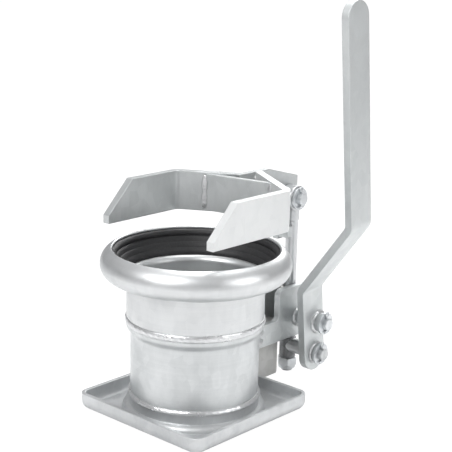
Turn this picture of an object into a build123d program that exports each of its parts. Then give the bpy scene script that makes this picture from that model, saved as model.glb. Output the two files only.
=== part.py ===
from build123d import *
import math
import os

# Flanged quick coupling, 159 mm pipe size. Millimetres.
# Z runs along the pipe, from the flange underside up to the bell mouth.
# Y points from the pipe to the closing mechanism, and X along its pins, to the lever.

# Pipe, collar and flange
pipe_radius = 79.5
pipe_wall = 4.5
swage_bottom = 102.0
swage_top = 115.0
flange_side = 205.0
flange_plate = 5.0
flange_lip_height = 22.0
flange_corner_radius = 13.0
flange_edge_radius = 12.0
bolt_pitch = 157.0
bolt_hole_radius = 6.0
collar_top = 24.5
collar_wall = 6.3
collar_fillet = 8.0
collar_lead = 3.0
collar_bead = 5.5

# Neck, bell and seal
neck_wall = 4.5
neck_step = 0.8
seam_height = 121.0
seam_band = 9.0
seam_proud = 1.6
bell_middle_height = 190.5
bell_lower_centre = 98.5
bell_lower_arc = 18.3
bell_upper_arc = 21.15
bell_wall = 4.0
mouth_radius = 104.3
neck_round = 4.0
neck_inner_round = 8.0
seal_gap = 0.2
seal_lip_radius = 86.0
seal_lip_height = 2.2
seal_top_turn = 5.0
seal_top_width = 2.4
seal_ring_radius = 97.4
seal_ring_height = 198.5
seal_ring_rise = 1.3
seal_rib_count = 3
seal_rib_rise = 0.6

# Mechanism places in the YZ plane
rod_y = 182.5
trunnion_height = 40.0
pivot_y = 183.5
pivot_height = 83.0
fork_pin_height = 243.0

# Rod, pins and washers
rod_radius = 8.0
rod_bottom = 3.0
running_gap = 0.1
rest_gap = 0.3
flush_gap = 0.05
pin_radius = 8.0
shank_radius = 10.0
washer_radius = 14.5
washer_thickness = 3.0
pin_end_length = 5.0
pin_chamfer = 1.0
split_wire_radius = 1.3
split_hole_radius = 1.5
split_loop_radius = 2.7
split_leg_length = 5.0

# Bracket
rod_slot = 17.8
cheek_thickness = 8.0
cheek_inner_y = 141.0
cheek_outer_y = 200.0
cheek_top = 127.0
cheek_bottom = 57.0
cheek_arm_top = 86.0
cheek_notch_radius = 6.0
cheek_top_radius = 8.0
cheek_swing_radius = 16.0
spacer_outer_y = 150.0
spacer_leg_width = 44.0
spacer_leg_bottom = 9.0
spacer_pad_bottom = 30.3
spacer_top = 84.0
web_thickness = 8.0
pipe_bead = 8.5
pivot_bead = 4.0

# Lever
bar_width = 40.0
bar_thickness = 10.0
lever_lean = 6.0
lever_face_x = 49.0
handle_clearance = 1.7
lever_origin_y = 179.0
lever_end = 23.0
lever_length = 470.0
crank_start = 91.0
crank_end = 191.0
crank_inner_radius = 8.0
bush_wall = 4.4
pivot_boss_length = 10.0
trunnion_bush_length = 5.0

# Trunnion and nut
sleeve_wall = 3.0
sleeve_above = 10.0
sleeve_below = 18.0
nut_flats = 24.0
nut_height = 11.0
nut_collar_height = 4.0
nut_collar_radius = 11.3
nut_turn = 13.5
nut_edge_drop = 1.2
insert_radius = 10.0
insert_height = 3.0

# Eye of the bolt
eye_radius = 17.0
eye_width = 18.0
eye_neck_radius = 8.9
eye_neck_length = 12.0
eye_neck_shoulder = 2.5

# Fork
arm_height = 50.0
arm_thickness = 10.0
arm_inner_x = 81.0
arm_bottom = 235.0
arm_tip_y = -69.0
arm_tip_height = 10.0
arm_cut_length = 39.0
near_bend_y = 62.0
far_bend_y = 47.5
strap_angle = 31.0
arm_bend_radius = 7.0
brace_near_x = 42.0
brace_far_x = -50.0
brace_thickness = 6.0
brace_drop = 2.0
brace_bead = 3.0
lug_bead = 5.0
lug_thickness = 8.0
lug_outer_y = 202.0
lug_outer_top = 269.0
lug_shoulder_y = 143.0
lug_tail_bottom = 188.0
lug_tail_width = 25.0
lug_corner_radius = 12.0
stop_width = 10.0
stop_bottom = 192.0
stop_height = 16.0
pin_bead = 4.0

# Values worked out from the ones above
bore_radius = pipe_radius - pipe_wall
collar_radius = bore_radius + collar_wall
neck_inner_radius = pipe_radius + neck_step
neck_outer_radius = neck_inner_radius + neck_wall
bell_radius = bell_lower_centre + bell_lower_arc
bell_upper_centre = bell_radius - bell_upper_arc
bell_underside = bell_middle_height - bell_lower_arc
bell_floor = bell_underside + bell_wall
mouth_height = bell_middle_height + math.sqrt(
    bell_upper_arc**2 - (mouth_radius - bell_upper_centre) ** 2
)
cheek_face = rod_slot / 2
cheek_outer_face = cheek_face + cheek_thickness
bush_hole = pin_radius + running_gap
bush_radius = bush_hole + bush_wall
lever_back_x = lever_face_x - bar_thickness
handle_back_x = bell_radius + handle_clearance
handle_shift = handle_back_x - lever_back_x
sleeve_radius = rod_radius + sleeve_wall
fork_top = arm_bottom + arm_height
lug_face = eye_width / 2 + rest_gap


def disc_stack(plane, *steps):
    """A turned piece: each step is an outer radius, a bore radius, a start and an end."""
    with BuildPart() as turned:
        for outer, inner, start, end in steps:
            with BuildSketch(plane.offset(start)):
                Circle(outer)
                if inner:
                    Circle(inner, mode=Mode.SUBTRACT)
            extrude(amount=end - start)
    return turned.part


def along_x(y, z):
    """The plane whose normal is X and whose origin lies at one place of the mechanism."""
    return Plane(origin=(0, y, z), x_dir=(0, 1, 0), z_dir=(1, 0, 0))


def corner(piece, direction, place):
    """The edge of a piece that runs one way and lies nearest to a place."""
    return piece.edges().filter_by(direction).sort_by_distance(place)[0]


def split_pin(x, y, z, radius):
    """A split pin through a pin of one radius, its loop above and its legs spread below."""
    reach = radius + split_leg_length / 2
    with BuildPart() as pin:
        with BuildSketch(Plane.XY.offset(z - reach)):
            with Locations((x, y)):
                Circle(split_wire_radius)
        extrude(amount=2 * reach)
        with Locations(Location((x, y, z + reach + split_loop_radius), (0, 90, 0))):
            Torus(split_loop_radius, split_wire_radius * 0.75)
        for side in (-1, 1):
            root = Plane(
                origin=(x, y, z - reach + split_wire_radius),
                x_dir=(1, 0, 0),
                z_dir=(0, side * math.sin(math.radians(62)), -math.cos(math.radians(62))),
            )
            with BuildSketch(root):
                Circle(split_wire_radius * 0.8)
            extrude(amount=split_leg_length)
    return pin.part


def bead_ring(radius, height, leg_out, leg_up):
    """A girth weld: a rounded corner bead on a ledge round the pipe."""
    with BuildPart() as bead:
        with BuildSketch(Plane.XZ):
            with BuildLine():
                Line((radius, height), (radius + leg_out, height))
                ThreePointArc(
                    (radius + leg_out, height),
                    (radius + leg_out * 0.85, height + leg_up * 0.6),
                    (radius, height + leg_up),
                )
                Line((radius, height + leg_up), (radius, height))
            make_face()
        revolve(axis=Axis.Z)
    return bead.part


os.makedirs("parts", exist_ok=True)


def save(piece, name):
    """Labels a finished piece and writes it to its own file."""
    piece.label = name
    export_step(piece, f"parts/{name}.step")


# Flange: a tray with its lip turned up, and a collar drawn up round the bore
with BuildPart() as flange:
    with BuildSketch():
        RectangleRounded(flange_side, flange_side, flange_corner_radius)
    extrude(amount=flange_lip_height)
    fillet(flange.faces().sort_by(Axis.Z)[0].edges(), flange_edge_radius)
    inner_side = flange_side - 2 * flange_plate
    with BuildPart(mode=Mode.PRIVATE) as hollow:
        with BuildSketch(Plane.XY.offset(flange_plate)):
            RectangleRounded(inner_side, inner_side, flange_corner_radius - flange_plate)
        extrude(amount=flange_lip_height)
        fillet(
            hollow.faces().sort_by(Axis.Z)[0].edges(),
            flange_edge_radius - flange_plate,
        )
    add(hollow.part, mode=Mode.SUBTRACT)
    fillet(flange.faces().sort_by(Axis.Z)[-1].edges(), flange_plate / 5)
    with BuildSketch():
        Circle(collar_radius)
    extrude(amount=flange_plate, mode=Mode.SUBTRACT)
    with BuildSketch(Plane.XZ):
        with BuildLine():
            Polyline(
                (bore_radius, collar_lead),
                (bore_radius, collar_top),
                (collar_radius, collar_top),
                (collar_radius, flange_plate + collar_fillet),
            )
            RadiusArc(
                (collar_radius, flange_plate + collar_fillet),
                (collar_radius + collar_fillet, flange_plate),
                collar_fillet,
            )
            Polyline(
                (collar_radius + collar_fillet, flange_plate),
                (collar_radius + collar_fillet, 0),
                (bore_radius + collar_lead, 0),
                (bore_radius, collar_lead),
            )
        make_face()
    revolve(axis=Axis.Z)
    with GridLocations(bolt_pitch, bolt_pitch, 2, 2):
        Hole(bolt_hole_radius, depth=flange_lip_height * 2)
save(flange.part, "flange")

# Pipe stub from the flange collar to the seam, its upper end swaged out to the neck
with BuildPart() as tube:
    with BuildSketch(Plane.XZ):
        with BuildLine():
            Line((pipe_radius, collar_top), (pipe_radius, swage_bottom))
            Spline(
                (pipe_radius, swage_bottom),
                (neck_outer_radius, swage_top),
                tangents=((0, 1), (0, 1)),
            )
            Polyline(
                (neck_outer_radius, swage_top),
                (neck_outer_radius, seam_height),
                (neck_inner_radius, seam_height),
                (neck_inner_radius, swage_top),
            )
            Spline(
                (neck_inner_radius, swage_top),
                (bore_radius, swage_bottom),
                tangents=((0, -1), (0, -1)),
            )
            Polyline(
                (bore_radius, swage_bottom),
                (bore_radius, collar_top),
                (pipe_radius, collar_top),
            )
        make_face()
    revolve(axis=Axis.Z)
save(tube.part, "tube")

save(bead_ring(pipe_radius, collar_top, collar_radius - pipe_radius + 1, collar_bead), "collar_weld")

# Spun neck and bell, one wall from the seam up to the mouth
mouth_angle = math.degrees(
    math.atan2(mouth_height - bell_middle_height, mouth_radius - bell_upper_centre)
)
mouth_round = math.degrees(bell_wall / 2 / bell_upper_arc)


def arc_point(centre, radius, angle):
    """A point of a circle in the bell's section, by its centre, radius and angle."""
    turn = math.radians(angle)
    return (centre[0] + radius * math.cos(turn), centre[1] + radius * math.sin(turn))


lower_centre = (bell_lower_centre, bell_middle_height)
upper_centre = (bell_upper_centre, bell_middle_height)
neck_centre = (neck_outer_radius + neck_round, bell_underside - neck_round)
floor_centre = (neck_inner_radius + neck_inner_round, bell_floor - neck_inner_round)
inner_lower_arc = bell_lower_arc - bell_wall
inner_upper_arc = bell_upper_arc - bell_wall

with BuildPart() as bell:
    with BuildSketch(Plane.XZ):
        with BuildLine():
            Polyline(
                (neck_inner_radius, floor_centre[1]),
                (neck_inner_radius, seam_height),
                (neck_outer_radius, seam_height),
                (neck_outer_radius, neck_centre[1]),
            )
            ThreePointArc(
                arc_point(neck_centre, neck_round, 180),
                arc_point(neck_centre, neck_round, 135),
                arc_point(neck_centre, neck_round, 90),
            )
            Line((neck_centre[0], bell_underside), (bell_lower_centre, bell_underside))
            ThreePointArc(
                arc_point(lower_centre, bell_lower_arc, -90),
                arc_point(lower_centre, bell_lower_arc, -45),
                arc_point(lower_centre, bell_lower_arc, 0),
            )
            ThreePointArc(
                arc_point(upper_centre, bell_upper_arc, 0),
                arc_point(upper_centre, bell_upper_arc, mouth_angle / 2),
                arc_point(upper_centre, bell_upper_arc, mouth_angle),
            )
            ThreePointArc(
                arc_point(upper_centre, bell_upper_arc, mouth_angle),
                arc_point(
                    upper_centre, bell_upper_arc - bell_wall / 2, mouth_angle + mouth_round
                ),
                arc_point(upper_centre, inner_upper_arc, mouth_angle),
            )
            ThreePointArc(
                arc_point(upper_centre, inner_upper_arc, mouth_angle),
                arc_point(upper_centre, inner_upper_arc, mouth_angle / 2),
                arc_point(upper_centre, inner_upper_arc, 0),
            )
            ThreePointArc(
                arc_point(lower_centre, inner_lower_arc, 0),
                arc_point(lower_centre, inner_lower_arc, -45),
                arc_point(lower_centre, inner_lower_arc, -90),
            )
            Line((bell_lower_centre, bell_floor), (floor_centre[0], bell_floor))
            ThreePointArc(
                arc_point(floor_centre, neck_inner_round, 90),
                arc_point(floor_centre, neck_inner_round, 135),
                arc_point(floor_centre, neck_inner_round, 180),
            )
        make_face()
    revolve(axis=Axis.Z)
save(bell.part, "bell")

with BuildPart() as seam_weld:
    with BuildSketch(Plane.XZ):
        with BuildLine():
            ThreePointArc(
                (neck_outer_radius, seam_height - seam_band / 2),
                (neck_outer_radius + seam_proud, seam_height),
                (neck_outer_radius, seam_height + seam_band / 2),
            )
            Line(
                (neck_outer_radius, seam_height + seam_band / 2),
                (neck_outer_radius, seam_height - seam_band / 2),
            )
        make_face()
    revolve(axis=Axis.Z)
save(seam_weld.part, "seam_weld")

# Rubber seal: its back follows the bell, its face is a ribbed cone for the ball
back_upper_arc = inner_upper_arc - seal_gap
back_lower_arc = inner_lower_arc - seal_gap
seal_floor = bell_floor + seal_gap
seal_top = arc_point(upper_centre, back_upper_arc, mouth_angle + seal_top_turn)
seal_face_top = (seal_top[0] - seal_top_width, seal_top[1] - seal_top_width / 2)
seal_ring = (seal_ring_radius, seal_ring_height)
seal_face_foot = (seal_lip_radius, seal_floor + seal_lip_height)


def along_face(start, end, share, rise=0.0):
    """A point a share of the way down part of the seal's face, raised towards the axis."""
    run = (end[0] - start[0], end[1] - start[1])
    lift = rise / math.hypot(*run)
    return (start[0] + run[0] * share + run[1] * lift, start[1] + run[1] * share - run[0] * lift)


with BuildPart() as seal:
    with BuildSketch(Plane.XZ):
        with BuildLine():
            Line((seal_lip_radius, seal_floor), (bell_lower_centre, seal_floor))
            ThreePointArc(
                arc_point(lower_centre, back_lower_arc, -90),
                arc_point(lower_centre, back_lower_arc, -45),
                arc_point(lower_centre, back_lower_arc, 0),
            )
            ThreePointArc(
                arc_point(upper_centre, back_upper_arc, 0),
                arc_point(upper_centre, back_upper_arc, mouth_angle / 2),
                seal_top,
            )
            Line(seal_top, seal_face_top)
            ThreePointArc(
                seal_face_top,
                along_face(seal_face_top, seal_ring, 0.5, seal_ring_rise),
                seal_ring,
            )
            for rib in range(seal_rib_count):
                start, end = rib / seal_rib_count, (rib + 1) / seal_rib_count
                ThreePointArc(
                    along_face(seal_ring, seal_face_foot, start),
                    along_face(seal_ring, seal_face_foot, (start + end) / 2, seal_rib_rise),
                    along_face(seal_ring, seal_face_foot, end),
                )
            Line(seal_face_foot, (seal_lip_radius, seal_floor))
        make_face()
    revolve(axis=Axis.Z)
save(seal.part, "seal")

# Bracket plates, cut from flat and welded on the pipe either side of the rod
for name, side, pierced in (("cheek_near", 1, True), ("cheek_far", -1, False)):
    start = cheek_face if side > 0 else -cheek_outer_face
    with BuildPart() as cheek:
        with BuildSketch(Plane.YZ.offset(start)):
            with BuildLine():
                Polyline(
                    (pipe_radius - collar_wall, cheek_bottom),
                    (cheek_outer_y, cheek_bottom),
                    (cheek_outer_y, cheek_top),
                    (cheek_inner_y, cheek_top),
                    (cheek_inner_y, cheek_arm_top),
                    (pipe_radius - collar_wall, cheek_arm_top),
                    close=True,
                )
            make_face()
            if pierced:
                with Locations((pivot_y, pivot_height)):
                    Circle(shank_radius, mode=Mode.SUBTRACT)
        extrude(amount=cheek_thickness)
        middle = start + cheek_thickness / 2
        for corner_y, corner_z, radius in (
            (cheek_outer_y, cheek_bottom, cheek_swing_radius),
            (cheek_inner_y, cheek_arm_top, cheek_notch_radius),
            (cheek_inner_y, cheek_top, cheek_top_radius),
            (cheek_outer_y, cheek_top, cheek_top_radius),
        ):
            fillet(corner(cheek, Axis.X, (middle, corner_y, corner_z)), radius)
        with BuildSketch():
            Circle(pipe_radius)
        extrude(amount=cheek_top, mode=Mode.SUBTRACT)
    save(cheek.part, name)

# Bar between the plates, with the leg that stands below them
with BuildPart() as bracket_spacer:
    with BuildSketch(Plane.YZ.offset(-cheek_face)):
        with BuildLine():
            Polyline(
                (pipe_radius - collar_wall, spacer_pad_bottom),
                (spacer_outer_y - spacer_leg_width, spacer_pad_bottom),
                (spacer_outer_y - spacer_leg_width, spacer_leg_bottom),
                (spacer_outer_y, spacer_leg_bottom),
                (spacer_outer_y, spacer_top),
                (pipe_radius - collar_wall, spacer_top),
                close=True,
            )
        make_face()
    extrude(amount=rod_slot)
    leg_corners = bracket_spacer.edges().filter_by(Axis.X).group_by(Axis.Z)[0]
    fillet(leg_corners, cheek_notch_radius / 2)
    with BuildSketch():
        Circle(pipe_radius)
    extrude(amount=cheek_top, mode=Mode.SUBTRACT)
save(bracket_spacer.part, "bracket_spacer")

# Rest for the rod between the plates
web_face_y = rod_y - rod_radius - rest_gap
with BuildPart() as bracket_web:
    with BuildSketch(Plane.XY.offset(cheek_bottom)):
        with Locations((0, web_face_y - web_thickness / 2)):
            Rectangle(rod_slot, web_thickness)
    extrude(amount=cheek_top - cheek_top_radius / 2 - cheek_bottom)
    fillet(bracket_web.edges().filter_by(Axis.X).group_by(Axis.Z)[-1], web_thickness / 4)
save(bracket_web.part, "bracket_web")

# Weld beads where the plates meet the pipe
with BuildPart() as bracket_welds:
    seat_y = math.sqrt(pipe_radius**2 - cheek_outer_face**2)
    with BuildSketch(Plane.XY.offset(cheek_bottom + 1)):
        for side in (-1, 1):
            with Locations((side * cheek_outer_face, seat_y)):
                Circle(pipe_bead)
        Rectangle(2 * cheek_outer_face, 4 * seat_y, mode=Mode.SUBTRACT)
        Circle(pipe_radius, mode=Mode.SUBTRACT)
    extrude(amount=cheek_arm_top - cheek_bottom - 2)
save(bracket_welds.part, "bracket_welds")

# Pivot pin, welded into the near plate
boss_end = lever_face_x + pivot_boss_length
pivot_washer_start = boss_end + rest_gap
pivot_pin_end = pivot_washer_start + washer_thickness + pin_end_length + split_wire_radius
pivot = along_x(pivot_y, pivot_height)
with BuildPart() as pivot_pin:
    add(
        disc_stack(
            pivot,
            (shank_radius, 0, cheek_face, lever_back_x - rest_gap),
            (pin_radius, 0, lever_back_x - rest_gap, pivot_pin_end),
        )
    )
    chamfer(pivot_pin.edges().group_by(Axis.X)[-1], pin_chamfer)
    split_x = pivot_washer_start + washer_thickness + split_hole_radius + rest_gap
    with Locations((split_x, pivot_y, pivot_height)):
        Cylinder(split_hole_radius, 4 * pin_radius, mode=Mode.SUBTRACT)
save(pivot_pin.part, "pivot_pin")
save(split_pin(split_x, pivot_y, pivot_height, pin_radius), "pivot_split_pin")
save(
    disc_stack(
        pivot,
        (washer_radius, bush_hole, pivot_washer_start, pivot_washer_start + washer_thickness),
    ),
    "pivot_washer",
)

with BuildPart() as pivot_weld:
    with BuildSketch(Plane.XY.offset(pivot_height)):
        with BuildLine():
            Polyline(
                (cheek_outer_face, pivot_y + shank_radius + pivot_bead),
                (cheek_outer_face, pivot_y + shank_radius),
                (cheek_outer_face + pivot_bead, pivot_y + shank_radius),
            )
            ThreePointArc(
                (cheek_outer_face + pivot_bead, pivot_y + shank_radius),
                (
                    cheek_outer_face + pivot_bead * 0.62,
                    pivot_y + shank_radius + pivot_bead * 0.62,
                ),
                (cheek_outer_face, pivot_y + shank_radius + pivot_bead),
            )
        make_face()
    revolve(axis=Axis((0, pivot_y, pivot_height), (1, 0, 0)))
save(pivot_weld.part, "pivot_weld")

# Lever: a flat bar cranked sideways, so that its handle passes the bell
lean = math.radians(lever_lean)
lever_axis = (0, -math.sin(lean), math.cos(lean))
across = (0, math.cos(lean), math.sin(lean))
profile_plane = Plane(
    origin=(0, lever_origin_y, trunnion_height),
    x_dir=(1, 0, 0),
    z_dir=(0, -math.cos(lean), -math.sin(lean)),
)
outline_plane = Plane(
    origin=(0, lever_origin_y, trunnion_height), x_dir=across, z_dir=(1, 0, 0)
)
crank_angle = math.atan2(handle_shift, crank_end - crank_start)
fold_offset = bar_thickness * math.tan(crank_angle / 2)
handle_face_x = handle_back_x + bar_thickness
with BuildPart() as lever:
    with BuildSketch(profile_plane):
        with BuildLine():
            Polyline(
                (lever_back_x, -lever_end),
                (lever_face_x, -lever_end),
                (lever_face_x, crank_start),
                (handle_face_x, crank_end),
                (handle_face_x, lever_length),
                (handle_back_x, lever_length),
                (handle_back_x, crank_end + fold_offset),
                (lever_back_x, crank_start + fold_offset),
                close=True,
            )
        make_face()
    extrude(amount=bar_width / 2, both=True)
    for across_x, along, outside in (
        (lever_face_x, crank_start, False),
        (handle_face_x, crank_end, True),
        (handle_back_x, crank_end + fold_offset, False),
        (lever_back_x, crank_start + fold_offset, True),
    ):
        place = profile_plane.from_local_coords((across_x, along, 0))
        bend = crank_inner_radius + (bar_thickness if outside else 0)
        fillet(corner(lever, Axis((0, 0, 0), across), place), bend)
    with BuildSketch(outline_plane):
        with Locations((0, (lever_length - lever_end) / 2)):
            SlotOverall(lever_length + lever_end, bar_width, rotation=90)
    extrude(amount=2 * handle_face_x, mode=Mode.INTERSECT)
    for hole_y, hole_z in ((pivot_y, pivot_height), (rod_y, trunnion_height)):
        with BuildSketch(along_x(hole_y, hole_z)):
            Circle(bush_radius)
        extrude(amount=lever_face_x + bar_thickness, mode=Mode.SUBTRACT)
save(lever.part, "lever")

save(disc_stack(pivot, (bush_radius, bush_hole, lever_back_x, boss_end)), "pivot_boss")
trunnion = along_x(rod_y, trunnion_height)
bush_end = lever_face_x + trunnion_bush_length
save(disc_stack(trunnion, (bush_radius, bush_hole, lever_back_x, bush_end)), "trunnion_bush")

# Trunnion: a threaded sleeve on the rod, with a shouldered pin welded on its side
sleeve_bottom = trunnion_height - sleeve_below
with BuildPart() as trunnion_sleeve:
    with BuildSketch(Plane.XY.offset(sleeve_bottom)):
        with Locations((0, rod_y)):
            Circle(sleeve_radius)
            Circle(rod_radius + flush_gap, mode=Mode.SUBTRACT)
    extrude(amount=sleeve_below + sleeve_above)
    chamfer(trunnion_sleeve.edges().filter_by(GeomType.CIRCLE), pin_chamfer / 2)
save(trunnion_sleeve.part, "trunnion_sleeve")

trunnion_washer_start = bush_end + rest_gap
trunnion_pin_end = trunnion_washer_start + washer_thickness + pin_end_length + split_wire_radius
with BuildPart() as trunnion_pin:
    add(
        disc_stack(
            trunnion,
            (shank_radius, 0, 0, lever_back_x - rest_gap),
            (pin_radius, 0, lever_back_x - rest_gap, trunnion_pin_end),
        )
    )
    chamfer(trunnion_pin.edges().group_by(Axis.X)[-1], pin_chamfer)
    with Locations((0, rod_y, trunnion_height)):
        Cylinder(sleeve_radius + flush_gap, 4 * shank_radius, mode=Mode.SUBTRACT)
    split_x = trunnion_washer_start + washer_thickness + split_hole_radius + rest_gap
    with Locations((split_x, rod_y, trunnion_height)):
        Cylinder(split_hole_radius, 4 * pin_radius, mode=Mode.SUBTRACT)
save(trunnion_pin.part, "trunnion_pin")
save(split_pin(split_x, rod_y, trunnion_height, pin_radius), "trunnion_split_pin")
save(
    disc_stack(
        trunnion,
        (
            washer_radius,
            bush_hole,
            trunnion_washer_start,
            trunnion_washer_start + washer_thickness,
        ),
    ),
    "trunnion_washer",
)

# Eye bolt: the rod, its thicker neck and its eye
rod_plane = Plane(origin=(0, rod_y, 0), x_dir=(1, 0, 0), z_dir=(0, 0, 1))
neck_foot = fork_pin_height - eye_radius - eye_neck_length
with BuildPart() as eye_bolt:
    with BuildSketch(Plane(origin=(0, rod_y, 0), x_dir=(1, 0, 0), z_dir=(0, -1, 0))):
        with BuildLine():
            Polyline(
                (0, rod_bottom),
                (rod_radius - pin_chamfer, rod_bottom),
                (rod_radius, rod_bottom + pin_chamfer),
                (rod_radius, neck_foot - eye_neck_shoulder),
            )
            Spline(
                (rod_radius, neck_foot - eye_neck_shoulder),
                (eye_neck_radius, neck_foot),
                tangents=((0, 1), (0, 1)),
            )
            Polyline(
                (eye_neck_radius, neck_foot),
                (eye_neck_radius, fork_pin_height),
                (0, fork_pin_height),
                (0, rod_bottom),
            )
        make_face()
    revolve(axis=Axis((0, rod_y, 0), (0, 0, 1)))
    with BuildSketch(along_x(rod_y, fork_pin_height).offset(-eye_width / 2)):
        Circle(eye_radius)
    extrude(amount=eye_width)
    fillet(
        eye_bolt.edges().filter_by(GeomType.CIRCLE).filter_by(lambda e: e.radius > eye_radius - 1)
        .group_by(Axis.X)[0]
        + eye_bolt.edges().filter_by(GeomType.CIRCLE).filter_by(lambda e: e.radius > eye_radius - 1)
        .group_by(Axis.X)[-1],
        eye_width / 9,
    )
    with BuildSketch(along_x(rod_y, fork_pin_height).offset(-eye_width)):
        Circle(pin_radius + running_gap)
    extrude(amount=2 * eye_width, mode=Mode.SUBTRACT)
save(eye_bolt.part, "eye_bolt")

# Lock nut under the sleeve, with its insert ring
nut_bottom = sleeve_bottom - nut_height
collar_bottom = nut_bottom - nut_collar_height
nut_corner_radius = nut_flats / 2 / math.cos(math.radians(30))
with BuildPart() as lock_nut:
    with BuildSketch(Plane.XY.offset(nut_bottom)):
        with Locations((0, rod_y)):
            RegularPolygon(nut_flats / 2, 6, major_radius=False, rotation=nut_turn)
    extrude(amount=nut_height)
    with BuildPart(mode=Mode.INTERSECT):
        with BuildSketch(Plane(origin=(0, rod_y, 0), x_dir=(1, 0, 0), z_dir=(0, -1, 0))):
            Polygon(
                (0, nut_bottom),
                (nut_flats / 2, nut_bottom),
                (nut_corner_radius, nut_bottom + nut_edge_drop),
                (nut_corner_radius, sleeve_bottom - nut_edge_drop),
                (nut_flats / 2, sleeve_bottom),
                (0, sleeve_bottom),
                align=None,
            )
        revolve(axis=Axis((0, rod_y, 0), (0, 0, 1)))
    with BuildSketch(Plane.XY.offset(collar_bottom)):
        with Locations((0, rod_y)):
            Circle(nut_collar_radius)
    extrude(amount=nut_collar_height)
    with BuildSketch(Plane.XY.offset(collar_bottom)):
        with Locations((0, rod_y)):
            Circle(rod_radius + flush_gap)
    extrude(amount=nut_height + nut_collar_height, mode=Mode.SUBTRACT)
    with BuildSketch(Plane.XY.offset(collar_bottom)):
        with Locations((0, rod_y)):
            Circle(insert_radius)
    extrude(amount=insert_height, mode=Mode.SUBTRACT)
save(lock_nut.part, "lock_nut")
save(
    disc_stack(
        rod_plane,
        (
            insert_radius - flush_gap,
            rod_radius + flush_gap,
            collar_bottom,
            collar_bottom + insert_height - flush_gap,
        ),
    ),
    "nut_insert",
)

# Fork arms: flat bars with slanted tips, bent inwards to the lug
slope = math.tan(math.radians(strap_angle))
strap_step = arm_thickness / math.cos(math.radians(strap_angle))
corner_step = arm_thickness * math.tan(math.radians(45 - strap_angle / 2))


def near_front(x):
    """The front face of the near strap at one distance from the plane of the rod."""
    return near_bend_y + (arm_inner_x - x) * slope


def far_front(x):
    """The front face of the far strap at one distance from the plane of the rod."""
    return far_bend_y + (arm_inner_x + x) * slope


arms = {}
for name, side, bend_y, end_x in (
    ("arm_near", 1, near_bend_y, -lug_face),
    ("arm_far", -1, far_bend_y, lug_face + lug_thickness),
):
    end_y = bend_y + (arm_inner_x - end_x) * slope
    with BuildPart() as arm:
        with BuildSketch(Plane.XY.offset(arm_bottom)):
            with BuildLine():
                Polyline(
                    (arm_inner_x, arm_tip_y),
                    (arm_inner_x + arm_thickness, arm_tip_y),
                    (arm_inner_x + arm_thickness, bend_y + corner_step),
                    (end_x, end_y + strap_step),
                    (end_x, end_y),
                    (arm_inner_x, bend_y),
                    close=True,
                )
            make_face()
        extrude(amount=arm_height)
        middle = arm_bottom + arm_height / 2
        bend_outer = (arm_inner_x + arm_thickness, bend_y + corner_step, middle)
        fillet(corner(arm, Axis.Z, (arm_inner_x, bend_y, middle)), arm_bend_radius)
        fillet(corner(arm, Axis.Z, bend_outer), arm_bend_radius + arm_thickness)
        with BuildSketch(Plane.YZ):
            with BuildLine():
                Polyline(
                    (arm_tip_y, arm_bottom + arm_tip_height),
                    (arm_tip_y + arm_cut_length, fork_top),
                    (arm_tip_y, fork_top),
                    close=True,
                )
            make_face()
        extrude(amount=2 * arm_inner_x, mode=Mode.SUBTRACT)
    arms[name] = arm.part if side > 0 else mirror(arm.part, Plane.YZ)
    save(arms[name], name)

# Brace between the straps, set askew, its ends cut to lie against them
brace_near_y = near_front(brace_near_x) - flush_gap
brace_far_y = far_front(brace_far_x) - flush_gap
brace_slope = (brace_near_y - brace_far_y) / (brace_near_x - brace_far_x)
brace_step = brace_thickness * math.hypot(1, brace_slope)
back_near_x = brace_near_x - brace_step / (slope + brace_slope)
back_far_x = brace_far_x + brace_step / (slope - brace_slope)
with BuildPart() as brace:
    with BuildSketch(Plane.XY.offset(arm_bottom + brace_drop / 2)):
        with BuildLine():
            Polyline(
                (brace_far_x, brace_far_y),
                (brace_near_x, brace_near_y),
                (back_near_x, near_front(back_near_x) - flush_gap),
                (back_far_x, far_front(back_far_x) - flush_gap),
                close=True,
            )
        make_face()
    extrude(amount=arm_height - 1.5 * brace_drop)
save(brace.part, "brace")

# Lug: the plate beside the eye, with the tail that carries the stop
lug_inner_y = far_front(-lug_face - lug_thickness)
tail_inner_y = rod_y - rod_radius - stop_width
with BuildPart() as lug:
    with BuildSketch(Plane.YZ.offset(-lug_face - lug_thickness)):
        with BuildLine():
            Polyline(
                (lug_inner_y, arm_bottom),
                (tail_inner_y, arm_bottom),
                (tail_inner_y, lug_tail_bottom),
                (tail_inner_y + lug_tail_width, lug_tail_bottom),
                (lug_outer_y, arm_bottom),
                (lug_outer_y, lug_outer_top),
                (lug_shoulder_y, fork_top),
                (lug_inner_y, fork_top),
                close=True,
            )
        make_face()
        with Locations((rod_y, fork_pin_height)):
            Circle(pin_radius, mode=Mode.SUBTRACT)
    extrude(amount=lug_thickness)
    for corner_y, corner_z in (
        (tail_inner_y, arm_bottom),
        (tail_inner_y + lug_tail_width, lug_tail_bottom),
        (lug_outer_y, arm_bottom),
    ):
        place = (-lug_face - lug_thickness / 2, corner_y, corner_z)
        fillet(corner(lug, Axis.X, place), lug_corner_radius)
save(lug.part, "lug")

# Stop bar on the tail, which rests on the rod and holds the fork level
stop_face_y = rod_y - rod_radius - rest_gap
with BuildPart() as fork_stop:
    with BuildSketch(Plane.XY.offset(stop_bottom)):
        with Locations((-lug_face + (lug_face + rod_radius) / 2, stop_face_y - stop_width / 2)):
            Rectangle(lug_face + rod_radius, stop_width)
    extrude(amount=stop_height)
    fillet(fork_stop.faces().sort_by(Axis.X)[-1].edges(), stop_width / 5)
save(fork_stop.part, "fork_stop")

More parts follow.
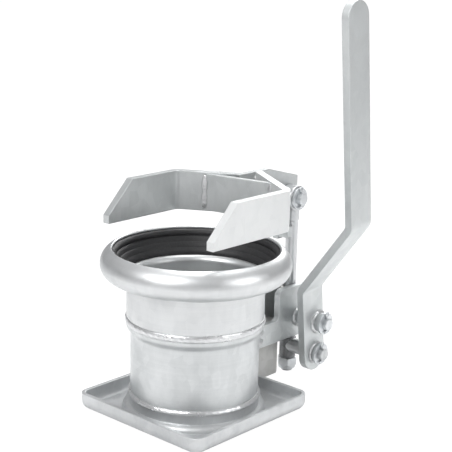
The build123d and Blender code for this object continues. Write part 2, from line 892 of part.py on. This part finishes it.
# Fork pin, welded into the lug
fork_axis = along_x(rod_y, fork_pin_height)
fork_washer_start = eye_width / 2 + rest_gap
fork_pin_end = fork_washer_start + washer_thickness + pin_end_length + split_wire_radius
with BuildPart() as fork_pin:
    add(disc_stack(fork_axis, (pin_radius, 0, -lug_face - lug_thickness, fork_pin_end)))
    chamfer(fork_pin.edges().group_by(Axis.X)[-1], pin_chamfer)
    split_x = fork_washer_start + washer_thickness + split_hole_radius + rest_gap
    with Locations((split_x, rod_y, fork_pin_height)):
        Cylinder(split_hole_radius, 4 * pin_radius, mode=Mode.SUBTRACT)
save(fork_pin.part, "fork_pin")
save(split_pin(split_x, rod_y, fork_pin_height, pin_radius), "fork_split_pin")
save(
    disc_stack(
        fork_axis,
        (washer_radius, bush_hole, fork_washer_start, fork_washer_start + washer_thickness),
    ),
    "fork_washer",
)
with BuildPart() as fork_pin_weld:
    add(
        disc_stack(
            fork_axis.offset(-lug_face - lug_thickness - pin_bead),
            (pin_radius + pin_bead / 2, 0, 0, pin_bead),
        )
    )
    fillet(fork_pin_weld.edges().group_by(Axis.X)[0], pin_bead * 0.7)
save(fork_pin_weld.part, "fork_pin_weld")

# Weld beads of the fork: brace to straps, and straps to lug
with BuildPart() as fork_welds:
    with BuildSketch(Plane.XY.offset(arm_bottom + brace_drop)):
        for bead_x, bead_y, bead_radius in (
            (brace_near_x, brace_near_y, brace_bead),
            (brace_far_x, brace_far_y, brace_bead),
            (-lug_face, near_front(-lug_face), lug_bead),
            (-lug_face - lug_thickness, lug_inner_y, brace_bead),
        ):
            with Locations((bead_x, bead_y)):
                Circle(bead_radius)
    extrude(amount=arm_height - 2.5 * brace_drop)
    for solid in (arms["arm_near"], arms["arm_far"], brace.part, lug.part):
        add(solid, mode=Mode.SUBTRACT)
save(fork_welds.part, "fork_welds")
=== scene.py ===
import math
import random

import bpy
from mathutils import Matrix, Vector


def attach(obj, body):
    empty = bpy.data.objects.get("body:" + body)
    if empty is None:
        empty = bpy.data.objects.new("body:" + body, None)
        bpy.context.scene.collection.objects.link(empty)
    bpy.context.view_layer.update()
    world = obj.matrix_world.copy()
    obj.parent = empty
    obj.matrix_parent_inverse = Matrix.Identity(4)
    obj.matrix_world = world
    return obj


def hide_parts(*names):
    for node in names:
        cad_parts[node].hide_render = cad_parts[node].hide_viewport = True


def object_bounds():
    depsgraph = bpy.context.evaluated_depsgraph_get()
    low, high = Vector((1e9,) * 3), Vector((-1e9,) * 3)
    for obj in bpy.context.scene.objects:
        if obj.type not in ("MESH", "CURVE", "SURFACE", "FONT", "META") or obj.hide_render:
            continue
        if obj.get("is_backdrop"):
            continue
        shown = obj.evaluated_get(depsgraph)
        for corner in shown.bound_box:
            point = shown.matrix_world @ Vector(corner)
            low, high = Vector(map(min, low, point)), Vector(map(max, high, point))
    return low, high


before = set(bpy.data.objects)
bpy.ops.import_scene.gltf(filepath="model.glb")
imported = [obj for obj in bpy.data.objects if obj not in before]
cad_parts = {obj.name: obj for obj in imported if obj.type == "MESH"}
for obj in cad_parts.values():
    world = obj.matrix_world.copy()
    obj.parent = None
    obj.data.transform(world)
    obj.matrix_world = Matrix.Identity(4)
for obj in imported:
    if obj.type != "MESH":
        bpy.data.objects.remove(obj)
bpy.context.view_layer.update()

# Camera
ALPHA = math.radians(46.5)
DISTANCE, HEIGHT = 1.3796, 0.5914
YAW, PITCH, ROLL = math.radians(1.455), math.radians(14.419), math.radians(1.346)


def from_view(x, y, z):
    """A direction or place of the photograph's own frame, in the row frame."""
    return Vector(
        (
            x * math.sin(ALPHA) - y * math.cos(ALPHA),
            x * math.cos(ALPHA) + y * math.sin(ALPHA),
            z,
        )
    )


ahead = Vector(
    (math.sin(YAW) * math.cos(PITCH), math.cos(YAW) * math.cos(PITCH), -math.sin(PITCH))
)
right = Vector((math.cos(YAW), -math.sin(YAW), 0))
upward = right.cross(ahead)
turned_right = right * math.cos(ROLL) + upward * math.sin(ROLL)
turned_up = upward * math.cos(ROLL) - right * math.sin(ROLL)
axes = [from_view(*turned_right), from_view(*turned_up), from_view(*(-ahead))]
camera_data = bpy.data.cameras.new("camera")
camera_data.sensor_width = 36.0
camera_data.lens = 94.18
camera = bpy.data.objects.new("camera", camera_data)
bpy.context.scene.collection.objects.link(camera)
rotation = Matrix(
    [[axes[c][r] for c in range(3)] for r in range(3)]
).to_4x4()
camera.matrix_world = Matrix.Translation(from_view(0, -DISTANCE, HEIGHT)) @ rotation
bpy.context.scene.camera = camera


# Node helpers
class Graph:
    """A material's node tree, with short calls for adding and joining nodes."""

    def __init__(self, name):
        self.material = bpy.data.materials.new(name)
        self.material.use_nodes = True
        self.tree = self.material.node_tree
        self.tree.nodes.clear()
        self.out = self.tree.nodes.new("ShaderNodeOutputMaterial")
        self.coords = self.tree.nodes.new("ShaderNodeTexCoord").outputs["Object"]

    def put(self, socket, value):
        if isinstance(value, bpy.types.NodeSocket):
            self.tree.links.new(value, socket)
        else:
            socket.default_value = value

    def node(self, kind, settings=(), **inputs):
        made = self.tree.nodes.new(kind)
        for key, value in dict(settings).items():
            setattr(made, key, value)
        for key, value in inputs.items():
            self.put(made.inputs[key.replace("_", " ")], value)
        return made

    def math(self, operation, a, b=0.5, clamp=False):
        made = self.tree.nodes.new("ShaderNodeMath")
        made.operation, made.use_clamp = operation, clamp
        self.put(made.inputs[0], a)
        self.put(made.inputs[1], b)
        return made.outputs[0]

    def stretched(self, scale):
        made = self.tree.nodes.new("ShaderNodeMapping")
        self.put(made.inputs["Vector"], self.coords)
        made.inputs["Scale"].default_value = scale
        return made.outputs[0]

    def noise(self, scale, detail=3.0, rough=0.55, vector=None):
        made = self.node("ShaderNodeTexNoise", Scale=scale, Detail=detail, Roughness=rough)
        self.put(made.inputs["Vector"], vector or self.coords)
        return made.outputs["Fac"]

    def cells(self, scale, vector=None, feature="F1"):
        made = self.node("ShaderNodeTexVoronoi", {"feature": feature}, Scale=scale)
        self.put(made.inputs["Vector"], vector or self.coords)
        return made

    def spread(self, value, low, high, to_low, to_high):
        made = self.tree.nodes.new("ShaderNodeMapRange")
        made.clamp = True
        for key, item in (
            ("Value", value),
            ("From Min", low),
            ("From Max", high),
            ("To Min", to_low),
            ("To Max", to_high),
        ):
            self.put(made.inputs[key], item)
        return made.outputs["Result"]

    def mix(self, factor, a, b, blend="MIX"):
        made = self.tree.nodes.new("ShaderNodeMix")
        made.data_type, made.blend_type = "RGBA", blend
        self.put(made.inputs[0], factor)
        self.put(made.inputs[6], a if isinstance(a, bpy.types.NodeSocket) else (*a, 1))
        self.put(made.inputs[7], b if isinstance(b, bpy.types.NodeSocket) else (*b, 1))
        return made.outputs[2]

    def ramp(self, value, *stops):
        made = self.tree.nodes.new("ShaderNodeValToRGB")
        self.put(made.inputs["Fac"], value)
        ramp = made.color_ramp
        while len(ramp.elements) < len(stops):
            ramp.elements.new(0.5)
        for element, (place, shade) in zip(ramp.elements, stops):
            element.position = place
            element.color = (*shade, 1) if isinstance(shade, tuple) else (shade, shade, shade, 1)
        return made.outputs["Color"]

    def bump(self, height, distance, strength=1.0, normal=None):
        made = self.node("ShaderNodeBump", Height=height, Distance=distance, Strength=strength)
        if normal is not None:
            self.put(made.inputs["Normal"], normal)
        return made.outputs["Normal"]

    def surface(self, **inputs):
        made = self.tree.nodes.new("ShaderNodeBsdfPrincipled")
        for key, value in inputs.items():
            self.put(made.inputs[key.replace("_", " ")], value)
        self.tree.links.new(made.outputs[0], self.out.inputs["Surface"])
        return self.material


def steel(
    name,
    light,
    dark,
    rough=(0.3, 0.5),
    spangle=85.0,
    spangle_depth=0.5,
    grain=None,
    grain_share=0.35,
    stain=None,
    edge=0.0009,
    bump=0.00002,
    metallic=0.92,
    lumps=None,
    cloudy=0.5,
    smeary=0.55,
):
    """Zinc-coated steel: spangle, cloudy tone, rolled or turned grain, softened edges and a painted
    highlight along them.
    """
    g = Graph(name)
    cells = g.cells(spangle, g.stretched((1, 1, 0.8)))
    spark = g.node("ShaderNodeSeparateColor", Color=cells.outputs["Color"]).outputs[0]
    cloud = g.noise(14.0, 4.0, 0.6)
    smear = g.noise(48.0, 5.0, 0.65, g.stretched((1.0, 1.0, 0.28)))
    fine = g.noise(900.0, 2.0, 0.6)
    tone = g.math("MULTIPLY", g.math("SUBTRACT", spark, 0.5), spangle_depth)
    tone = g.math("ADD", tone, g.math("MULTIPLY", g.math("SUBTRACT", cloud, 0.5), cloudy))
    tone = g.math("ADD", tone, g.math("MULTIPLY", g.math("SUBTRACT", smear, 0.5), smeary))
    height = g.math("ADD", g.math("MULTIPLY", fine, 0.5), g.math("MULTIPLY", smear, 1.6))
    if grain:
        lines = g.noise(1.0, 4.0, 0.7, g.stretched(grain))
        tone = g.math("ADD", tone, g.math("MULTIPLY", g.math("SUBTRACT", lines, 0.5), grain_share * 3))
        height = g.math("ADD", height, g.math("MULTIPLY", lines, 1.3))
    if lumps:
        height = g.math("ADD", height, g.math("MULTIPLY", g.noise(lumps, 3.0, 0.5), 14.0))
    tone = g.math("ADD", tone, 0.5, clamp=True)
    colour = g.mix(tone, dark, light)
    if stain:
        blot = g.spread(g.noise(26.0, 6.0, 0.68), 0.54, 0.74, 0.0, 0.55)
        colour = g.mix(blot, colour, stain)
    rounded = g.node("ShaderNodeBevel", {"samples": 4}, Radius=edge).outputs[0]
    plain = g.node("ShaderNodeNewGeometry").outputs["Normal"]
    dot = g.node("ShaderNodeVectorMath", {"operation": "DOT_PRODUCT"})
    g.put(dot.inputs[0], rounded)
    g.put(dot.inputs[1], plain)
    # painted highlight: rounded edges lightened towards pale grey, made patchy by the cloud noise
    painted_edge_highlight = g.spread(dot.outputs["Value"], 0.995, 0.86, 0.0, 0.5)
    painted_edge_highlight = g.math("MULTIPLY", painted_edge_highlight, g.spread(cloud, 0.35, 0.6, 0.35, 1.0))
    colour = g.mix(painted_edge_highlight, colour, (0.86, 0.87, 0.88))
    roughness = g.spread(g.math("ADD", smear, g.math("MULTIPLY", spark, 0.35)), 0.4, 1.0, rough[1], rough[0])
    normal = g.bump(height, bump, 1.0, rounded)
    return g.surface(
        Base_Color=colour, Metallic=metallic, Roughness=roughness, Normal=normal
    )


GALV_LIGHT, GALV_DARK = (0.75, 0.765, 0.77), (0.53, 0.55, 0.555)
MAT = {
    "body": steel(
        "galvanised_tube", GALV_LIGHT, GALV_DARK, rough=(0.34, 0.48), spangle=95,
        spangle_depth=0.16, grain=(6.0, 6.0, 420.0), grain_share=0.14,
        stain=(0.56, 0.58, 0.59), edge=0.0008, cloudy=0.7, smeary=0.6,
    ),
    "bell": steel(
        "spun_steel", (0.78, 0.79, 0.79), (0.56, 0.575, 0.585), rough=(0.34, 0.48), spangle=80,
        spangle_depth=0.12, grain=(7.0, 7.0, 520.0), grain_share=0.12,
        stain=(0.62, 0.63, 0.63), edge=0.0006, cloudy=0.6, smeary=0.45,
    ),
    "flange": steel(
        "pressed_flange", (0.78, 0.79, 0.795), (0.55, 0.565, 0.575), rough=(0.38, 0.54),
        spangle=90, spangle_depth=0.16, stain=(0.54, 0.56, 0.58), edge=0.0012,
        cloudy=0.8, smeary=0.6,
    ),
    # painted light: a lighter, less metallic copy of galvanised_bar for the near arm, standing in for the
    # brighter light its face catches
    "arm": steel(
        "galvanised_arm_painted_lit", (0.86, 0.87, 0.87), (0.70, 0.715, 0.715), rough=(0.40, 0.55),
        spangle=85, spangle_depth=0.14, stain=(0.74, 0.76, 0.76), edge=0.0013,
        metallic=0.55, cloudy=0.4, smeary=0.45,
    ),
    "bar": steel(
        "galvanised_bar", (0.72, 0.74, 0.74), (0.52, 0.54, 0.545), rough=(0.38, 0.54),
        spangle=85, spangle_depth=0.18, stain=(0.58, 0.61, 0.61), edge=0.0013,
        cloudy=0.5, smeary=0.6,
    ),
    "handle": steel(
        "galvanised_handle", (0.73, 0.75, 0.75), (0.57, 0.595, 0.60), rough=(0.42, 0.56),
        spangle=110, spangle_depth=0.16, stain=(0.63, 0.65, 0.65), edge=0.0015,
        cloudy=0.5, smeary=0.5,
    ),
    "plate": steel(
        "warm_plate", (0.60, 0.60, 0.59), (0.42, 0.42, 0.41), rough=(0.38, 0.56),
        spangle=100, spangle_depth=0.2, stain=(0.44, 0.43, 0.41), edge=0.0010,
    ),
    "rod": steel(
        "drawn_rod", (0.74, 0.75, 0.76), (0.50, 0.51, 0.52), rough=(0.26, 0.38), spangle=200,
        spangle_depth=0.08, grain=(500.0, 500.0, 3.0), grain_share=0.06, edge=0.0005,
        bump=0.000005, cloudy=0.3, smeary=0.2,
    ),
    "dull": steel(
        "dull_steel", (0.34, 0.345, 0.35), (0.18, 0.185, 0.19), rough=(0.42, 0.62), spangle=160,
        spangle_depth=0.4, stain=(0.14, 0.14, 0.14), edge=0.0006, bump=0.00004,
    ),
    "zinc": steel(
        "satin_zinc", (0.80, 0.82, 0.83), (0.56, 0.58, 0.60), rough=(0.26, 0.40), spangle=240,
        spangle_depth=0.2, edge=0.0006,
    ),
    "bush": steel(
        "zinc_bush", (0.72, 0.735, 0.74), (0.46, 0.475, 0.48), rough=(0.34, 0.50), spangle=200,
        spangle_depth=0.25, stain=(0.42, 0.43, 0.43), edge=0.0006,
    ),
    "weld": steel(
        "galvanised_weld", (0.82, 0.825, 0.83), (0.60, 0.61, 0.62), rough=(0.24, 0.40),
        spangle=260, spangle_depth=0.3, edge=0.0003, bump=0.00003, lumps=420.0,
    ),
}


def rubber_material():
    g = Graph("seal_rubber")
    cloud = g.noise(60.0, 5.0, 0.6)
    dust = g.spread(g.noise(420.0, 4.0, 0.7), 0.5, 0.8, 0.0, 0.22)
    colour = g.mix(cloud, (0.012, 0.012, 0.013), (0.028, 0.028, 0.030))
    colour = g.mix(dust, colour, (0.11, 0.11, 0.11))
    rings = g.node(
        "ShaderNodeTexWave",
        {"wave_type": "BANDS", "bands_direction": "Z", "wave_profile": "SIN"},
        Scale=60.0, Distortion=0.1, Detail=1.0,
    )
    g.put(rings.inputs["Vector"], g.coords)
    height = g.math("ADD", rings.outputs["Fac"], g.math("MULTIPLY", g.noise(1500.0), 0.3))
    return g.surface(
        Base_Color=colour,
        Roughness=g.spread(cloud, 0.3, 0.7, 0.42, 0.62),
        Normal=g.bump(height, 0.00012),
    )


def insert_material():
    g = Graph("nylon_insert")
    colour = g.mix(g.noise(300.0, 4.0), (0.10, 0.12, 0.17), (0.20, 0.23, 0.29))
    return g.surface(
        Base_Color=colour, Roughness=0.5, Normal=g.bump(g.noise(1200.0), 0.00003)
    )


MAT["rubber"] = rubber_material()
MAT["insert"] = insert_material()

LOOKS = {
    "body": ["tube"],
    "bell": ["bell"],
    "flange": ["flange"],
    "arm": ["arm_near"],
    "bar": ["arm_far", "brace", "lug", "fork_stop", "cheek_near", "cheek_far"],
    "plate": ["bracket_spacer", "bracket_web"],
    "handle": ["lever"],
    "rod": ["eye_bolt"],
    "dull": ["trunnion_sleeve"],
    "zinc": [
        "lock_nut", "pivot_washer", "trunnion_washer", "fork_washer", "pivot_split_pin",
        "trunnion_split_pin", "fork_split_pin", "fork_pin", "pivot_pin",
    ],
    "bush": ["pivot_boss", "trunnion_bush", "trunnion_pin"],
    "weld": [
        "collar_weld", "seam_weld", "bracket_welds", "pivot_weld", "fork_welds", "fork_pin_weld",
    ],
    "rubber": ["seal"],
    "insert": ["nut_insert"],
}
for look, names in LOOKS.items():
    for name in names:
        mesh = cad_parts[name].data
        mesh.materials.clear()
        mesh.materials.append(MAT[look])


# Mesh helpers
def piece(name, points, faces, look, body, smooth=True, stands_for=(), slot=None):
    """Makes one piece of the object from its points and faces, in metres."""
    mesh = bpy.data.meshes.new(name)
    mesh.from_pydata([tuple(p) for p in points], [], faces)
    mesh.materials.append(MAT[look])
    mesh.update()
    if smooth:
        mesh.polygons.foreach_set("use_smooth", [True] * len(mesh.polygons))
    made = bpy.data.objects.new(name, mesh)
    bpy.context.scene.collection.objects.link(made)
    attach(made, body)
    if stands_for:
        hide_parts(*stands_for)
    return made


def grid_faces(rows, columns, close_rows=False, close_columns=True):
    """Quads over a grid of points, closed round either way."""
    faces = []
    for r in range(rows if close_rows else rows - 1):
        for c in range(columns if close_columns else columns - 1):
            a, b = r * columns + c, r * columns + (c + 1) % columns
            d = (r + 1) % rows * columns
            faces.append((a, b, d + (c + 1) % columns, d + c))
    return faces


def wobble(seed, periods=(3, 5, 9, 17, 31)):
    """A smooth repeating wave with a fixed seed, from -1 to 1 over one turn."""
    source = random.Random(seed)
    waves = [(n, source.uniform(0, 6.283), source.uniform(0.5, 1.0) / n**0.4) for n in periods]
    total = sum(w[2] for w in waves)
    return lambda t: sum(s * math.sin(n * t + p) for n, p, s in waves) / total


def place_on(centre, across, forward, axis):
    """A function from turned coordinates (radius, angle, along) to the row frame."""
    centre, across, forward, axis = map(Vector, (centre, across, forward, axis))
    return lambda r, t, h: centre + (across * math.cos(t) + forward * math.sin(t)) * r + axis * h


ON_PIPE = place_on((0, 0, 0), (1, 0, 0), (0, 1, 0), (0, 0, 1))


def weld_ring(name, body, spot, section, ripples, ripple, lump, seed, **more):
    """A girth weld: section points are (radius, along, outward radius, outward along, share)."""
    steps = max(96, ripples * 6)
    rough, fine = wobble(seed), wobble(seed + 1, (23, 41, 67))
    points = []
    for row in section:
        r, h, nr, nh, share = row
        for i in range(steps):
            t = math.tau * i / steps
            scale = abs(math.sin(ripples * t / 2 + h * 900 + 0.6 * rough(t)))
            d = share * (ripple * (scale - 0.6) + lump * rough(t) + 0.35 * lump * fine(t))
            points.append(spot(r + nr * d, t, h + nh * d))
    return piece(name, points, grid_faces(len(section), steps, close_rows=True), "weld", body, **more)


def bead_section(corner, leg_r, leg_h, count=9, bulge=1.0):
    """The section of a fillet bead with its corner at (radius, along) and two legs, in metres."""
    r0, h0 = corner
    rows = []
    for i in range(count):
        a = math.pi / 2 * i / (count - 1)
        nr, nh = math.cos(a), math.sin(a)
        share = math.sin(math.pi * i / (count - 1)) ** 0.6 if 0 < i < count - 1 else 0.0
        fill = 0.82 + 0.18 * bulge
        r = r0 + leg_r * nr * (1 if share == 0 else fill)
        h = h0 + leg_h * nh * (1 if share == 0 else fill)
        rows.append((r, h, math.copysign(nr, leg_r), math.copysign(nh, leg_h), share))
    rows.append((r0, h0, 0, 0, 0.0))
    return rows


def weld_strip(name, body, start, end, leg_a, leg_b, ripples, ripple, lump, seed, **more):
    """A straight fillet bead from start to end between two legs, with rounded ends."""
    start, end, leg_a, leg_b = map(Vector, (start, end, leg_a, leg_b))
    steps, count = ripples * 6, 8
    rough, fine = wobble(seed, (1, 2, 3, 5, 7)), wobble(seed + 1, (11, 17, 29))
    points = []
    for i in range(steps + 1):
        share = i / steps
        t = math.tau * share
        ease = min(1.0, math.sin(math.pi * min(share, 1 - share) * 1.6 + 0.12) ** 0.5 * 1.05)
        scale = abs(math.sin(ripples * math.pi * share))
        d = ripple * (scale - 0.6) + lump * rough(t) + 0.35 * lump * fine(t)
        base = start.lerp(end, share)
        for k in range(count):
            a = math.pi / 2 * k / (count - 1)
            way = leg_a * math.cos(a) + leg_b * math.sin(a)
            crown = math.sin(2 * a)
            points.append(base + way * ease + way.normalized() * d * crown * ease)
        points.append(base)
    faces = grid_faces(steps + 1, count + 1)
    faces.append(tuple(range(count, -1, -1)))
    last = steps * (count + 1)
    faces.append(tuple(last + k for k in range(count + 1)))
    return piece(name, points, faces, "weld", body, **more)


# Welds
MM = 0.001
weld_ring(
    "collar_bead", "body", ON_PIPE,
    bead_section((79.4 * MM, 24.4 * MM), 3.2 * MM, 5.6 * MM), 64, 0.5 * MM, 0.6 * MM, 11,
    stands_for=["collar_weld"], slot="weld",
)
seam = []
for i in range(13):
    share = i / 12
    crown = math.sin(math.pi * share) ** 0.55 if 0 < i < 12 else 0.0
    seam.append(((84.7 + 1.7 * crown) * MM, (116.6 + 8.8 * share) * MM, 1.0, 0.0, crown))
seam.append((84.4 * MM, 121.0 * MM, 0, 0, 0.0))
weld_ring(
    "seam_bead", "body", ON_PIPE, seam, 58, 0.45 * MM, 0.55 * MM, 23,
    stands_for=["seam_weld"], slot="weld",
)
pad_y = math.sqrt(79.5**2 - 16.9**2) * MM
for name, side, along, seed in (("pad_near", 1, 33.0, 53), ("pad_far", -1, 9.0, 59)):
    weld_strip(
        name, "body", (side * 16.8 * MM, pad_y - 0.3 * MM, 57.5 * MM),
        (side * 16.8 * MM, pad_y - 0.3 * MM, 85.5 * MM),
        (side * 7.4 * MM, -2.2 * MM, 0), (0, along * MM, 0), 5, 1.2 * MM, 1.1 * MM, seed,
        stands_for=["bracket_welds"] if side > 0 else (), slot="weld",
    )
slope = math.tan(math.radians(31))
near_y, far_y = 62.0 + (81.0 - 42.0) * slope, 47.5 + (81.0 - 50.0) * slope
lug_near_y, lug_far_y = 62.0 + (81.0 + 9.3) * slope, 47.5 + (81.0 - 17.3) * slope
for name, x, y, leg_a, leg_b, low, high, seed in (
    ("brace_bead_near", 42.0, near_y, (-4.2, -1.2), (3.2, -2.3), 238.0, 281.0, 61),
    ("brace_bead_far", -50.0, far_y, (-3.4, -2.2), (3.6, 0.6), 238.0, 281.0, 67),
    ("lug_bead", -9.3, lug_near_y, (0.1, -3.4), (2.9, -1.8), 238.0, 280.0, 71),
    ("lug_front_bead", -17.3, lug_far_y, (-4.0, -2.6), (3.6, -0.4), 238.0, 282.0, 73),
):
    weld_strip(
        name, "fork", (x * MM, (y - 0.1) * MM, low * MM), (x * MM, (y - 0.1) * MM, high * MM),
        (leg_a[0] * MM, leg_a[1] * MM, 0), (leg_b[0] * MM, leg_b[1] * MM, 0),
        9, 0.35 * MM, 0.5 * MM, seed,
        stands_for=["fork_welds"] if name == "brace_bead_near" else (), slot="weld",
    )
ON_PIVOT = place_on((0, 0.1835, 0.083), (0, 1, 0), (0, 0, 1), (1, 0, 0))
ON_TRUNNION = place_on((0, 0.1825, 0.040), (0, 1, 0), (0, 0, 1), (1, 0, 0))
ON_FORK_PIN = place_on((0, 0.1825, 0.243), (0, 1, 0), (0, 0, 1), (1, 0, 0))
weld_ring(
    "pivot_bead", "body", ON_PIVOT, bead_section((9.9 * MM, 16.8 * MM), 4.2 * MM, 4.2 * MM),
    14, 0.5 * MM, 0.5 * MM, 31, stands_for=["pivot_weld"], slot="weld",
)
weld_ring(
    "boss_bead", "lever", ON_PIVOT, bead_section((12.4 * MM, 48.9 * MM), 3.4 * MM, 3.6 * MM),
    16, 0.5 * MM, 0.6 * MM, 37, slot="weld",
)
weld_ring(
    "bush_bead", "lever", ON_TRUNNION, bead_section((12.4 * MM, 48.9 * MM), 2.6 * MM, 2.6 * MM),
    16, 0.4 * MM, 0.4 * MM, 41, slot="weld",
)
weld_ring(
    "fork_pin_bead", "fork", ON_FORK_PIN,
    bead_section((7.6 * MM, -17.2 * MM), 2.6 * MM, -3.6 * MM), 12, 0.3 * MM, 0.3 * MM, 43,
    stands_for=["fork_pin_weld"], slot="weld",
)

# Floor, world and lamps
floor_graph = Graph("pale_floor")
paint = floor_graph.node("ShaderNodeBsdfDiffuse", Color=(0.86, 0.86, 0.86, 1))
glow = floor_graph.node("ShaderNodeEmission", Color=(1, 1, 1, 1), Strength=1.12)
path = floor_graph.node("ShaderNodeLightPath")
seen = floor_graph.math("MULTIPLY", path.outputs["Is Camera Ray"], 0.88)
blend = floor_graph.tree.nodes.new("ShaderNodeMixShader")
floor_graph.put(blend.inputs[0], seen)
floor_graph.tree.links.new(paint.outputs[0], blend.inputs[1])
floor_graph.tree.links.new(glow.outputs[0], blend.inputs[2])
floor_graph.tree.links.new(blend.outputs[0], floor_graph.out.inputs["Surface"])
floor_mesh = bpy.data.meshes.new("floor")
reach = 12.0
floor_mesh.from_pydata(
    [(-reach, -reach, 0), (reach, -reach, 0), (reach, reach, 0), (-reach, reach, 0)],
    [],
    [(0, 1, 2, 3)],
)
floor_mesh.materials.append(floor_graph.material)
floor = bpy.data.objects.new("floor", floor_mesh)
floor.location = (0, 0, -0.0005)
bpy.context.scene.collection.objects.link(floor)
floor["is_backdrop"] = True

world = bpy.data.worlds.new("studio")
bpy.context.scene.world = world
world.use_nodes = True
tree = world.node_tree
tree.nodes.clear()
out = tree.nodes.new("ShaderNodeOutputWorld")
sky = tree.nodes.new("ShaderNodeBackground")
white = tree.nodes.new("ShaderNodeBackground")
white.inputs["Color"].default_value = (1, 1, 1, 1)
white.inputs["Strength"].default_value = 1.1
coords = tree.nodes.new("ShaderNodeTexCoord")
split = tree.nodes.new("ShaderNodeSeparateXYZ")
tree.links.new(coords.outputs["Generated"], split.inputs[0])
ramp = tree.nodes.new("ShaderNodeValToRGB")
tree.links.new(split.outputs["Z"], ramp.inputs["Fac"])
ramp.color_ramp.elements[0].position = 0.0
ramp.color_ramp.elements[0].color = (0.42, 0.42, 0.43, 1)
ramp.color_ramp.elements[1].position = 0.7
ramp.color_ramp.elements[1].color = (0.85, 0.85, 0.86, 1)
tree.links.new(ramp.outputs["Color"], sky.inputs["Color"])
sky.inputs["Strength"].default_value = 0.62
light_path = tree.nodes.new("ShaderNodeLightPath")
choose = tree.nodes.new("ShaderNodeMixShader")
tree.links.new(light_path.outputs["Is Camera Ray"], choose.inputs[0])
tree.links.new(sky.outputs[0], choose.inputs[1])
tree.links.new(white.outputs[0], choose.inputs[2])
tree.links.new(choose.outputs[0], out.inputs["Surface"])


def lamp(name, place, target, size, power):
    """A square soft lamp, placed and aimed in the photograph's own frame."""
    data = bpy.data.lights.new(name, "AREA")
    data.shape, data.size, data.energy = "SQUARE", size, power
    made = bpy.data.objects.new(name, data)
    bpy.context.scene.collection.objects.link(made)
    made.location = from_view(*place)
    aim = from_view(*target) - made.location
    made.rotation_mode = "QUATERNION"
    made.rotation_quaternion = aim.to_track_quat("-Z", "Y")
    return made


lamp("key", (-1.1, -1.3, 1.5), (0, 0, 0.18), 0.9, 26.0)
lamp("fill", (1.5, -0.9, 0.8), (0, 0, 0.2), 0.7, 9.0)
lamp("top", (0.2, 0.4, 1.9), (0, 0, 0.2), 1.0, 18.0)
lamp("rim", (0.6, 1.5, 1.0), (0, 0, 0.25), 0.7, 10.0)

scene = bpy.context.scene
scene.view_settings.view_transform = "Standard"

low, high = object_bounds()
